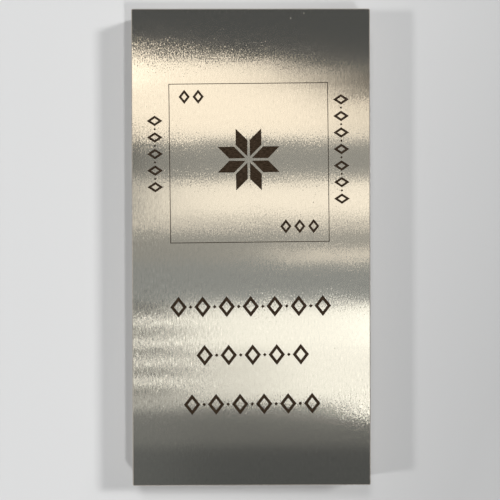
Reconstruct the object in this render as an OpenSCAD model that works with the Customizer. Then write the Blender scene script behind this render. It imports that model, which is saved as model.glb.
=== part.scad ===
// Titanium bar: one flat block cut from plate, ground on every face, with its edges broken.
// It lies on a large face. X is the width, Y the length and Z the thickness.
// The origin is the middle of the underside.

/* [Bar] */
// Width of the bar, side to side
bar_w = 63.5; // [30:0.5:120]
// Length of the bar, end to end
bar_l = 127; // [60:0.5:300]
// Thickness of the bar
bar_t = 12.5; // [5:0.1:30]

/* [Edges] */
// Width that breaking takes off each face along the edges round the two large faces
edge_break = 0.3; // [0.1:0.05:2]
// Width that breaking takes off each side at the four upright corners
corner_break = 0.45; // [0.1:0.05:2]

/* [Colour] */
// Colour of the ground titanium
titanium_colour = "#C2BAB2";

/* [Hidden] */
// How far a profile runs past the block that it trims
trim_over = 1;

// A rectangle centred on the origin, with a flat cut at 45 degrees across each corner.
module broken_rectangle(width, height, cut) {
    x = width / 2;
    y = height / 2;
    polygon([
        [x, y - cut], [x - cut, y], [cut - x, y], [-x, y - cut],
        [-x, cut - y], [cut - x, -y], [x - cut, -y], [x, cut - y]
    ]);
}

// The outline seen from above, which breaks the upright corners.
module plan_profile() {
    linear_extrude(bar_t)
        broken_rectangle(bar_w, bar_l, corner_break);
}

// The cross-section, run along the length, which breaks the edges of the two long sides.
module cross_section() {
    translate([0, 0, bar_t / 2])
        rotate([90, 0, 0])
            linear_extrude(bar_l + 2 * trim_over, center = true)
                broken_rectangle(bar_w, bar_t, edge_break);
}

// The long section, run across the width, which breaks the edges of the two ends.
module long_section() {
    translate([0, 0, bar_t / 2])
        rotate([90, 0, 90])
            linear_extrude(bar_w + 2 * trim_over, center = true)
                broken_rectangle(bar_l, bar_t, edge_break);
}

// The whole bar: what the three profiles have in common.
module bar() {
    color(titanium_colour)
        intersection() {
            plan_profile();
            cross_section();
            long_section();
        }
}

bar();
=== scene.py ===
import math

import bmesh
import bpy
from mathutils import Euler, Matrix, Vector


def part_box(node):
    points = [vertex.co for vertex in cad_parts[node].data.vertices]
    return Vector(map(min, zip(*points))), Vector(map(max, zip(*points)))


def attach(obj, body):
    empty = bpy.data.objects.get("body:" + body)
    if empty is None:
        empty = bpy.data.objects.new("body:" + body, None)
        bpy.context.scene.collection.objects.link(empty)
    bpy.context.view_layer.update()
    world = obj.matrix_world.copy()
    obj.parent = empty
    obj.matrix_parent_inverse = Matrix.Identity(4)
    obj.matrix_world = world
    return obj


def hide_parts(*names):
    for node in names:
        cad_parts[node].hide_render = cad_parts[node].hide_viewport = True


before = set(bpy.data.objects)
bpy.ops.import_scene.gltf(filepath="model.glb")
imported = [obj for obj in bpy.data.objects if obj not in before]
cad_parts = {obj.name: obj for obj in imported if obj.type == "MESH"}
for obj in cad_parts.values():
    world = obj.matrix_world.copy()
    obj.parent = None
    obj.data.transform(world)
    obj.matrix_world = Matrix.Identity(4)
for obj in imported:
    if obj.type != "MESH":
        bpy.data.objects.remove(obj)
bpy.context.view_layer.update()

mm = 0.001
barLow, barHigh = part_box("bar")
barWidth, barLength, barThickness = barHigh - barLow
print("frame loaded")


def hexToLinear(hexColour):
    channels = [int(hexColour[i:i + 2], 16) / 255 for i in (1, 3, 5)]
    linear = [c / 12.92 if c <= 0.04045 else ((c + 0.055) / 1.055) ** 2.4 for c in channels]
    return (*linear, 1.0)


def addNode(tree, kind, inputs=None, stops=(), **settings):
    node = tree.nodes.new(kind)
    for name, value in settings.items():
        setattr(node, name, value)
    for socket, source in (inputs or {}).items():
        if isinstance(source, bpy.types.NodeSocket):
            tree.links.new(source, node.inputs[socket])
        else:
            node.inputs[socket].default_value = source
    for k, (place, hexColour) in enumerate(stops):     # colours along a ramp
        stop = node.color_ramp.elements[k] if k < 2 else node.color_ramp.elements.new(place)
        stop.position = place
        stop.color = hexToLinear(hexColour)
    return node


def newMaterial(name):
    material = bpy.data.materials.new(name)
    material.use_nodes = True
    material.node_tree.nodes.clear()
    return material, material.node_tree


def newObject(name, mesh, materials=()):
    data = bpy.data.meshes.new(name)
    mesh.to_mesh(data)
    mesh.free()
    for material in materials:
        data.materials.append(material)
    thing = bpy.data.objects.new(name, data)
    bpy.context.scene.collection.objects.link(thing)
    return thing


# straight above the bar, a hair off upright
camera = {
    "height": 300 * mm,                      # above the upper face
    "aim": Vector((-0.32, -0.69, 0)) * mm,
    "seen": 133.05 * mm,                     # side of the square taken in at the upper face
    "tilt": Euler([math.radians(a) for a in (-0.43, -0.4, -0.15)]),
    "sensor": 36.0,
}


def makeCamera(c):
    data = bpy.data.cameras.new("camera")
    data.sensor_width = c["sensor"]
    data.lens = c["sensor"] * c["height"] / c["seen"]
    back = Vector((0, 0, c["height"]))
    back.rotate(c["tilt"])
    thing = bpy.data.objects.new("camera", data)
    thing.location = Vector((0, 0, barHigh.z)) + c["aim"] + back
    thing.rotation_euler = c["tilt"]
    bpy.context.scene.collection.objects.link(thing)
    bpy.context.scene.camera = thing


makeCamera(camera)
bpy.context.scene.view_settings.view_transform = "Standard"
print("camera placed")

# the bar's faces laid out flat on one UV map; marked: how far below the upper face and how far in from its
# edges a face counts as part of the marks
atlas = {"name": "OFBake", "gap": 2 * mm, "marked": (0.5 * mm, 0.7 * mm)}


def atlasSize():
    return 2 * barWidth + 3 * barThickness + 6 * atlas["gap"]


# Titanium plate ground along its length on a fine belt. The scratches smear a lamp across the bar and keep
# it sharp along the bar, so the overhead windows show as soft bars of light, with sparkle where they end.
brushed = {
    # one row for each size of mark: mm across the grain, mm along it, detail, lean across, lean along, and
    # how uneven: at 0 all lean much the same, at 2 a few lean far more than the rest
    "layers": [
        (0.34, 0.36, 0.0, 0.105, 0.2, 2),         # pits, twice as coarse as real ones
        (0.3, 0.4, 0.0, 0.04, 0.055, 1),          # ends of scratches, twice as coarse
        (0.36, 1.3, 0.0, 0.04, 0.02, 1),          # short scratches, drawn three times as coarse
        (0.5, 9, 2.0, 0.02, 0.002, 0),            # long scratches
        (9, 1.6, 1.0, 0.0, 0.004, 0),             # chatter of the belt
        (18, 13, 1.0, 0.012, 0.006, 0),           # slow waves of the plate
    ],
    # bite of the belt: size of its slow changes in mm, weakest and strongest, and the noise for each
    "bite": (16, 0.35, 0.8),
    "biteNoise": (0.35, 0.65),
    # share of it left at the lower end, and how many mm from that end it starts and stops easing off
    "eased": (0.3, 11, 27),
    # patches ground harder: mm from the left side and from the lower end, reach, extra lean, extra contrast
    "patches": [
        (5, 109, 25, 0.45, 0.6),
        (6, 37, 25, 0.1, 7.0),
        (2, 72, 13, 0.5, 4.0),
        (48, 102, 18, 0.0, 1.0),
        (62, 20, 14, 1.0, 2.0),
    ],
    "streaks": (0.4, 1.4),                        # brighter and duller dashes, mm across and along
    "contrast": 1.2,
    "dark": "#A09A91",
    "light": "#E1D8CC",
    "roughness": (0.1, 0.106),
    "anisotropy": 0.95,
}


def brushedTitanium(look):
    material, tree = newMaterial("brushed titanium")
    barMap = addNode(tree, "ShaderNodeUVMap", uv_map=atlas["name"]).outputs["UV"]
    inMm = addNode(tree, "ShaderNodeVectorMath", {0: barMap, 1: (atlasSize() / mm,) * 3},
                   operation="MULTIPLY").outputs[0]
    lean = (0.0, 0.0, 0.0)
    for across, along, detail, leanAcross, leanAlong, uneven in look["layers"]:
        spread = addNode(tree, "ShaderNodeVectorMath", {0: inMm, 1: (1 / across, 1 / along, 1)},
                         operation="MULTIPLY").outputs[0]
        grain = addNode(tree, "ShaderNodeTexNoise", {"Vector": spread, "Scale": 1.0, "Detail": detail},
                        noise_dimensions="2D").outputs["Color"]
        swing = addNode(tree, "ShaderNodeVectorMath", {0: grain, 1: (0.5, 0.5, 0.5)},
                        operation="SUBTRACT").outputs[0]
        steep = addNode(tree, "ShaderNodeVectorMath", {0: swing}, operation="ABSOLUTE").outputs[0]
        for _ in range(uneven):
            swing = addNode(tree, "ShaderNodeVectorMath", {0: swing, 1: steep},
                            operation="MULTIPLY").outputs[0]
        lean = addNode(tree, "ShaderNodeVectorMath", {0: swing, 1: (leanAcross, leanAlong, 0), 2: lean},
                       operation="MULTIPLY_ADD").outputs[0]
    size, weakest, strongest = look["bite"]
    slow = addNode(tree, "ShaderNodeTexNoise", {"Vector": inMm, "Scale": 1 / size, "Detail": 1.0},
                   noise_dimensions="2D").outputs["Fac"]
    low, high = look["biteNoise"]
    bite = addNode(tree, "ShaderNodeMapRange",
                   {"Value": slow, "From Min": low, "From Max": high,
                    "To Min": weakest, "To Max": strongest}).outputs[0]
    margin = atlas["gap"] / mm
    contrast = look["contrast"]
    for fromLeft, fromEnd, reach, moreLean, moreContrast in look["patches"]:
        middle = (fromLeft + margin, fromEnd + margin, 0)
        away = addNode(tree, "ShaderNodeVectorMath", {0: inMm, 1: middle},
                       operation="DISTANCE").outputs["Value"]
        patch = addNode(tree, "ShaderNodeMapRange",
                        {"Value": away, "From Max": reach, "To Min": 1.0, "To Max": 0.0},
                        interpolation_type="SMOOTHSTEP").outputs[0]
        bite = addNode(tree, "ShaderNodeMath", {0: patch, 1: moreLean, 2: bite},
                       operation="MULTIPLY_ADD").outputs[0]
        contrast = addNode(tree, "ShaderNodeMath", {0: patch, 1: moreContrast, 2: contrast},
                           operation="MULTIPLY_ADD").outputs[0]
    leastBite, easedFrom, easedTo = look["eased"]
    fromEnd = addNode(tree, "ShaderNodeSeparateXYZ", {"Vector": inMm}).outputs["Y"]
    easing = addNode(tree, "ShaderNodeMapRange",
                     {"Value": fromEnd, "From Min": easedFrom + margin, "From Max": easedTo + margin,
                      "To Min": leastBite}).outputs[0]
    bite = addNode(tree, "ShaderNodeMath", {0: bite, 1: easing}, operation="MULTIPLY").outputs[0]
    lean = addNode(tree, "ShaderNodeVectorMath", {0: lean, "Scale": bite}, operation="SCALE").outputs[0]
    packed = addNode(tree, "ShaderNodeVectorMath", {0: lean, 1: (0.5, 0.5, 0.5), 2: (0.5, 0.5, 1.0)},
                     operation="MULTIPLY_ADD").outputs[0]
    normal = addNode(tree, "ShaderNodeNormalMap", {"Color": packed}, uv_map=atlas["name"])
    across, along = look["streaks"]
    spread = addNode(tree, "ShaderNodeVectorMath", {0: inMm, 1: (1 / across, 1 / along, 1)},
                     operation="MULTIPLY").outputs[0]
    streak = addNode(tree, "ShaderNodeTexNoise", {"Vector": spread, "Scale": 1.0, "Detail": 2.0},
                     noise_dimensions="2D").outputs["Fac"]
    swing = addNode(tree, "ShaderNodeMath", {0: streak, 1: 0.5}, operation="SUBTRACT").outputs[0]
    steep = addNode(tree, "ShaderNodeMath", {0: swing}, operation="ABSOLUTE").outputs[0]
    sparse = addNode(tree, "ShaderNodeMath", {0: swing, 1: steep}, operation="MULTIPLY").outputs[0]
    share = addNode(tree, "ShaderNodeMath", {0: sparse, 1: contrast, 2: 0.5},
                    operation="MULTIPLY_ADD").outputs[0]
    tone = addNode(tree, "ShaderNodeValToRGB", {"Fac": share},
                   stops=[(0.0, look["dark"]), (1.0, look["light"])])
    smoothest, roughest = look["roughness"]
    rough = addNode(tree, "ShaderNodeMapRange", {"Value": streak, "To Min": smoothest, "To Max": roughest})
    tangent = addNode(tree, "ShaderNodeTangent", direction_type="UV_MAP", uv_map=atlas["name"])
    surface = addNode(tree, "ShaderNodeBsdfPrincipled", {
        "Base Color": tone.outputs["Color"], "Metallic": 1.0, "Roughness": rough.outputs[0],
        "Anisotropic": look["anisotropy"],
        "Normal": normal.outputs["Normal"], "Tangent": tangent.outputs["Tangent"]})
    addNode(tree, "ShaderNodeOutputMaterial", {"Surface": surface.outputs["BSDF"]})
    return material


# Oxide that a marking laser burns into the metal: dark warm brown and matt, faintly mottled by its passes.
laserMark = {
    "passes": (0.9, 0.24),          # mm along and between the passes, drawn five times as coarse
    "dark": "#20180F",
    "light": "#382D23",
    "roughness": (0.62, 0.78),
    "shine": 0.12,
}


def laserMarked(look):
    material, tree = newMaterial("laser-marked titanium oxide")
    barMap = addNode(tree, "ShaderNodeUVMap", uv_map=atlas["name"]).outputs["UV"]
    passLength, passPitch = [atlasSize() / (side * mm) for side in look["passes"]]
    spread = addNode(tree, "ShaderNodeVectorMath", {0: barMap, 1: (passLength, passPitch, 1)},
                     operation="MULTIPLY").outputs[0]
    mottle = addNode(tree, "ShaderNodeTexNoise", {"Vector": spread, "Scale": 1.0, "Detail": 2.0},
                     noise_dimensions="2D").outputs["Fac"]
    tone = addNode(tree, "ShaderNodeValToRGB", {"Fac": mottle},
                   stops=[(0.3, look["dark"]), (0.7, look["light"])]).outputs["Color"]
    smoothest, roughest = look["roughness"]
    rough = addNode(tree, "ShaderNodeMapRange", {"Value": mottle, "To Min": smoothest, "To Max": roughest})
    surface = addNode(tree, "ShaderNodeBsdfPrincipled", {
        "Base Color": tone, "Metallic": 0.0, "Roughness": rough.outputs[0],
        "Specular IOR Level": look["shine"]})
    addNode(tree, "ShaderNodeOutputMaterial", {"Surface": surface.outputs["BSDF"]})
    return material


barShape = {"cornerBreak": 0.45 * mm, "cornerSteps": 3, "edgeBreak": 0.25 * mm}

# ornament cut into the upper face, in mm from its middle
marking = {
    "turn": 0.5,              # degrees that the whole marking is turned on the bar
    "depth": 0.08,
    "over": 0.2,              # how far the cutter stands above the face
    "frame": {"centre": (-0.3, 22.5), "side": 42.4, "line": 0.2},
    "rosette": {"centre": (-0.4, 23.4), "petals": 8, "reach": 4.9, "half": (4.0, 1.7)},
    # rows of lozenges with beads between them; half: a lozenge's half length along and across its row
    "rows": [
        {"centre": (-0.3, -15.7), "along": 0, "count": 7, "pitch": 6.4, "half": (2.2, 2.8),
         "line": 0.8, "bead": 0.5},
        {"centre": (0.1, -28.6), "along": 0, "count": 5, "pitch": 6.4, "half": (2.2, 2.8),
         "line": 0.8, "bead": 0.5},
        {"centre": (-0.2, -41.7), "along": 0, "count": 6, "pitch": 6.4, "half": (2.2, 2.8),
         "line": 0.8, "bead": 0.5},
        {"centre": (-25.3, 25.1), "along": 90, "count": 5, "pitch": 4.4, "half": (1.4, 2.1),
         "line": 0.6, "bead": 0.35},
        {"centre": (24.3, 25.9), "along": 90, "count": 7, "pitch": 4.4, "half": (1.4, 2.1),
         "line": 0.6, "bead": 0.35},
        {"centre": (-15.5, 40.2), "along": 0, "count": 2, "pitch": 3.7, "half": (1.5, 1.9),
         "line": 0.6, "bead": 0},
        {"centre": (13.0, 5.5), "along": 0, "count": 3, "pitch": 3.7, "half": (1.5, 1.9),
         "line": 0.6, "bead": 0},
    ],
}

# small knocks in the upper face, in mm: where, radius, depth
knocks = [
    ((10.7, 60.9), 0.35, 0.03),
    ((14.2, 62.2), 0.30, 0.03),
    ((12.3, 39.2), 0.25, 0.012),
    ((-2.9, -50.8), 0.12, 0.006),
    ((16.6, 12.0), 0.22, 0.02),
    ((22.2, -27.0), 0.22, 0.02),
]


def makeBlock(shape):
    block = bmesh.new()
    bmesh.ops.create_cube(block, size=1, matrix=Matrix.Translation((barLow + barHigh) / 2)
                          @ Matrix.Diagonal((barWidth, barLength, barThickness, 1)))
    upright = [e for e in block.edges if abs(e.verts[0].co.z - e.verts[1].co.z) > barThickness / 2]
    bmesh.ops.bevel(block, geom=upright, offset=shape["cornerBreak"], offset_type="OFFSET",
                    segments=shape["cornerSteps"], profile=0.5, affect="EDGES", material=-1)
    rims = [e for e in block.edges if abs(e.verts[0].co.z - e.verts[1].co.z) < barThickness / 2]
    bmesh.ops.bevel(block, geom=rims, offset=shape["edgeBreak"], offset_type="OFFSET",
                    segments=1, profile=0.5, affect="EDGES", material=-1)
    return block


def addLozenge(cutter, centre, half, turn=0.0, line=None):
    place = (Matrix.Translation((*centre, 0)) @ Matrix.Rotation(math.radians(turn), 4, "Z")
             @ Matrix.Diagonal((*half, 1, 1)))
    made = bmesh.ops.create_circle(cutter, cap_ends=True, segments=4, radius=1, matrix=place)
    if line:
        faces = list({f for v in made["verts"] for f in v.link_faces})
        cutter.normal_update()
        bmesh.ops.inset_region(cutter, faces=faces, thickness=line, use_boundary=True, use_even_offset=True)
        bmesh.ops.delete(cutter, geom=faces, context="FACES_ONLY")


def makeMarks(m):
    cutter = bmesh.new()
    square, rosette = m["frame"], m["rosette"]
    addLozenge(cutter, square["centre"], (square["side"] / math.sqrt(2),) * 2, 45, square["line"])
    for petal in range(rosette["petals"]):
        turn = 360 * (petal + 0.5) / rosette["petals"]
        outward = Vector((math.cos(math.radians(turn)), math.sin(math.radians(turn))))
        addLozenge(cutter, Vector(rosette["centre"]) + rosette["reach"] * outward, rosette["half"], turn)
    for row in m["rows"]:
        turn = math.radians(row["along"])
        step = row["pitch"] * Vector((math.cos(turn), math.sin(turn)))
        for k in range(row["count"]):
            spot = Vector(row["centre"]) + (k - (row["count"] - 1) / 2) * step
            addLozenge(cutter, spot, row["half"], row["along"], row["line"])
            if row["bead"] and k:
                addLozenge(cutter, spot - step / 2, (row["bead"],) * 2)
    pulled = bmesh.ops.extrude_face_region(cutter, geom=cutter.faces[:])
    deep = [v for v in pulled["geom"] if isinstance(v, bmesh.types.BMVert)]
    bmesh.ops.translate(cutter, verts=deep, vec=(0, 0, -m["depth"] - m["over"]))
    bmesh.ops.translate(cutter, verts=cutter.verts, vec=(0, 0, m["over"]))
    bmesh.ops.rotate(cutter, verts=cutter.verts, matrix=Matrix.Rotation(math.radians(m["turn"]), 3, "Z"))
    for face in cutter.faces:
        face.material_index = 1
    return cutter


def addKnocks(cutter, spots):
    for (x, y), radius, depth in spots:
        ball = (radius ** 2 + depth ** 2) / (2 * depth)     # radius of the ball that leaves such a dent
        made = bmesh.ops.create_icosphere(cutter, subdivisions=3, radius=ball,
                                          matrix=Matrix.Translation((x, y, ball - depth)))
        for face in {f for v in made["verts"] for f in v.link_faces}:
            face.material_index = 0


def mapFaces(mesh):
    uvLayer = mesh.uv_layers.new(name=atlas["name"])
    gap, size = atlas["gap"], atlasSize()
    starts = {"top": gap, "under": 2 * gap + barWidth, "left": 3 * gap + 2 * barWidth,
              "right": 4 * gap + 2 * barWidth + barThickness,
              "ends": 5 * gap + 2 * barWidth + 2 * barThickness}
    below, inward = atlas["marked"]
    lowest = barHigh.z - below
    inside = [barHigh[i] - inward for i in (0, 1)]
    for face in mesh.polygons:
        n, c = face.normal, face.center
        engraved = c.z > lowest and abs(c.x) < inside[0] and abs(c.y) < inside[1]
        for loopIndex in face.loop_indices:
            p = mesh.vertices[mesh.loops[loopIndex].vertex_index].co
            if engraved or (abs(n.z) >= max(abs(n.x), abs(n.y)) and n.z > 0):
                u, v = starts["top"] + p.x - barLow.x, p.y - barLow.y
            elif abs(n.z) >= max(abs(n.x), abs(n.y)):
                u, v = starts["under"] + barHigh.x - p.x, p.y - barLow.y
            elif abs(n.x) >= abs(n.y):
                side = "right" if n.x > 0 else "left"
                u, v = starts[side] + p.z - barLow.z, p.y - barLow.y
            else:
                u, v = starts["ends"] + p.z - barLow.z, p.x - barLow.x + (barWidth if n.y > 0 else 0)
            uvLayer.data[loopIndex].uv = (u / size, (v + gap) / size)


def makeBar():
    materials = [brushedTitanium(brushed), laserMarked(laserMark)]
    bar = newObject("titanium_bar", makeBlock(barShape), materials)
    marks = makeMarks(marking)
    addKnocks(marks, knocks)
    bmesh.ops.recalc_face_normals(marks, faces=marks.faces)
    bmesh.ops.transform(marks, verts=marks.verts,
                        matrix=Matrix.Translation((0, 0, barHigh.z)) @ Matrix.Scale(mm, 4))
    cutter = newObject("marks", marks, materials)
    engraving = bar.modifiers.new("engraving", "BOOLEAN")
    engraving.operation, engraving.solver, engraving.object = "DIFFERENCE", "EXACT", cutter
    shaped = bpy.data.meshes.new_from_object(bar.evaluated_get(bpy.context.evaluated_depsgraph_get()))
    bar.modifiers.clear()
    bar.data = shaped
    bpy.data.objects.remove(cutter)
    mapFaces(shaped)
    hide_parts("bar")
    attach(bar, "root")
    print("bar made with", len(shaped.polygons), "faces")


makeBar()

# plain matt card, with painted light: its colour runs paler towards the far left and darker towards the near
# right, the lamps' falloff across the floor painted into it. Both tones, and where the one turns into the
# other
card = {"left": "#C6C6C6", "right": "#A9A9A9", "turns": (-25 * mm, 82 * mm), "slant": -0.35,
        "roughness": 0.9, "reach": 3}


def makeFloor(look):
    material, tree = newMaterial("matt card")
    place = addNode(tree, "ShaderNodeTexCoord").outputs["Object"]
    side = addNode(tree, "ShaderNodeSeparateXYZ", {"Vector": place}).outputs
    way = addNode(tree, "ShaderNodeMath", {0: side["Y"], 1: look["slant"], 2: side["X"]},
                  operation="MULTIPLY_ADD").outputs[0]
    start, end = look["turns"]
    share = addNode(tree, "ShaderNodeMapRange",
                    {"Value": way, "From Min": start, "From Max": end}).outputs[0]
    # painted light: the ramp paints the lamps' falloff across the floor into the card's colour
    tone = addNode(tree, "ShaderNodeValToRGB", {"Fac": share},
                   stops=[(0.0, look["left"]), (1.0, look["right"])]).outputs["Color"]
    surface = addNode(tree, "ShaderNodeBsdfPrincipled", {"Base Color": tone, "Roughness": look["roughness"]})
    addNode(tree, "ShaderNodeOutputMaterial", {"Surface": surface.outputs["BSDF"]})
    floor = bmesh.new()
    bmesh.ops.create_grid(floor, x_segments=1, y_segments=1, size=look["reach"])
    newObject("floor", floor, [material])


makeFloor(card)
print("floor laid")

lampHeight = 800 * mm       # of the overhead windows, above the upper face
cream, daylight, cool = "#FFF8E8", "#FBFFFA", "#F0FAFC"
paneLight = 1.25            # of a pane at 0 stops, in times white; each stop up doubles it
# Each window is given by the stretch of the upper face that mirrors it to the camera, in mm from its
# middle: y along the bar, and for each pane from and to across the bar, and its stops. Slats: how many,
# and the share of their pitch that shines
windows = [
    {"name": "far wall", "y": (46, 72), "colour": cool, "panes": [(-62, 62, -4)]},
    {"name": "top left window", "y": (42.5, 53), "colour": cream, "panes": [(-62, -30, 1)]},
    {"name": "top window", "y": (42.5, 50), "colour": cream, "panes": [(-30, 7, 0.5)]},
    {"name": "top right window", "y": (42.5, 47.5), "colour": cream, "panes": [(7, 24, -0.5)]},
    {"name": "high left window", "y": (32, 42.5), "colour": cream, "panes": [(-62, -36, 0.5)]},
    {"name": "high window", "y": (29, 42.5), "colour": cream, "panes": [(-36, 24, 0.5)]},
    {"name": "high right window", "y": (29, 38.5), "colour": cream, "panes": [(24, 62, 0)]},
    {"name": "upper wall", "y": (19.5, 30), "colour": daylight, "panes": [(-32, 75, -1.5)]},
    {"name": "middle window", "y": (8.5, 18), "colour": cream, "panes": [(-26, 75, 0)]},
    {"name": "window sill", "y": (4.5, 8.5), "colour": cream, "panes": [(-40, 75, -1)]},
    {"name": "middle wall", "y": (-4, 19.5), "colour": daylight, "panes": [(-62, 75, -1.5)]},
    {"name": "lower wall", "y": (-15, -4), "colour": cool, "panes": [(-62, 75, -1.5)]},
    {"name": "right ledge", "y": (-4, 0), "colour": cream, "panes": [(8, 62, -0.5)]},
    {"name": "window blind", "y": (-38.5, -17), "colour": daylight, "panes": [(-62, -18, 1)],
     "slats": (4, 0.3)},
    {"name": "blind foot", "y": (-43, -39), "colour": daylight, "panes": [(-62, -18, -1)]},
    {"name": "low window", "y": (-27, -15), "colour": daylight, "panes": [(-18, 32, 0.5), (32, 62, 1)]},
    {"name": "foot window", "y": (-41.5, -27), "colour": daylight, "panes": [(-18, 7, 0), (7, 62, 0.5)]},
    {"name": "corner window", "y": (-45, -41.5), "colour": daylight, "panes": [(30, 62, 1.5)]},
    {"name": "near shade", "y": (-53, -41.5), "colour": daylight, "panes": [(-62, 62, -3.5)]},
    {"name": "near wall", "y": (-80, -41.5), "colour": cool, "panes": [(-62, -20, -3), (-20, 62, -4)]},
]
studioLamps = [
    # toward: how far sideways for each metre up; size: the lamp's sides for each metre up
    {"name": "left lamp", "toward": (-1.1, -0.15), "height": 3, "size": (0.18, 0.15), "brightness": 140},
    {"name": "right lamp", "toward": (0.85, 0.3), "height": 2.4, "size": (0.26, 0.18), "brightness": 90},
    {"name": "near lamp", "toward": (0.25, -0.35), "height": 3, "size": (0.06, 0.1), "brightness": 230},
    {"name": "far lamp", "toward": (-0.1, 0.45), "height": 3, "size": (0.2, 0.2), "brightness": 30},
]
# from level to straight up: what lights matt things, and what metal and the camera see
skyTones = [(0.0, "#A8A8A8"), (0.25, "#787A78"), (0.5, "#4C4F50"), (0.88, "#3F4346")]
backdropTones = [(0.0, "#DADADA"), (0.18, "#B0B0AF"), (0.31, "#FFFFFC"), (0.45, "#8A8C8B"), (0.6, "#FFFFFC"),
                 (0.75, "#7C7E7D"), (0.86, "#D4D4D2"), (0.955, "#414548")]


def makeLamp(name, place, size, brightness, colour="#FFFFFF"):
    data = bpy.data.lights.new(name, "AREA")
    data.shape = "RECTANGLE"
    data.size, data.size_y = size
    data.energy = math.pi * size[0] * size[1] * brightness   # makes the lamp's face this many times white
    data.color = hexToLinear(colour)[:3]
    thing = bpy.data.objects.new(name, data)
    thing.location = place
    thing.visible_camera = False
    bpy.context.scene.collection.objects.link(thing)
    return thing


def makeWindow(w, height):
    spread = 1 + height / camera["height"]
    eye = bpy.context.scene.camera.location
    low, high = [eye.y + (edge * mm - eye.y) * spread for edge in w["y"]]
    slats, share = w.get("slats", (1, 1))
    pitch = (high - low) / slats
    for start, end, stops in w["panes"]:
        left, right = [eye.x + (edge * mm - eye.x) * spread for edge in (start, end)]
        for k in range(slats):
            place = ((left + right) / 2, high - (k + 0.5) * pitch, barHigh.z + height)
            size = (right - left, pitch * share)
            lamp = makeLamp(w["name"], place, size, paneLight * 2 ** stops, w["colour"])
            lamp.visible_diffuse = False         # for metal to mirror; the studio lamps light matt things


def makeLight():
    for k, w in enumerate(windows):
        makeWindow(w, lampHeight + k * mm)       # apart in height, so that windows that overlap add up
    for s in studioLamps:
        place = s["height"] * Vector((*s["toward"], 1))
        lamp = makeLamp(s["name"], place, [side * s["height"] for side in s["size"]], s["brightness"])
        lamp.visible_glossy = False              # metal mirrors the windows and the backdrop instead
    world = bpy.data.worlds.new("studio")
    world.use_nodes = True
    tree = world.node_tree
    tree.nodes.clear()
    toward = addNode(tree, "ShaderNodeTexCoord").outputs["Generated"]
    upward = addNode(tree, "ShaderNodeSeparateXYZ", {"Vector": toward}).outputs["Z"]
    light = addNode(tree, "ShaderNodeValToRGB", {"Fac": upward}, stops=skyTones).outputs["Color"]
    backdrop = addNode(tree, "ShaderNodeValToRGB", {"Fac": upward}, stops=backdropTones).outputs["Color"]
    ray = addNode(tree, "ShaderNodeLightPath").outputs
    seen = addNode(tree, "ShaderNodeMath", {0: ray["Is Camera Ray"], 1: ray["Is Glossy Ray"]},
                   operation="ADD").outputs[0]
    seen = addNode(tree, "ShaderNodeMath", {0: seen, 1: ray["Is Transmission Ray"]},
                   operation="ADD", use_clamp=True).outputs[0]
    tone = addNode(tree, "ShaderNodeMix", {0: seen, 6: light, 7: backdrop}, data_type="RGBA")
    background = addNode(tree, "ShaderNodeBackground", {"Color": tone.outputs[2], "Strength": 1.0})
    addNode(tree, "ShaderNodeOutputWorld", {"Surface": background.outputs["Background"]})
    bpy.context.scene.world = world


makeLight()
print("lights placed")
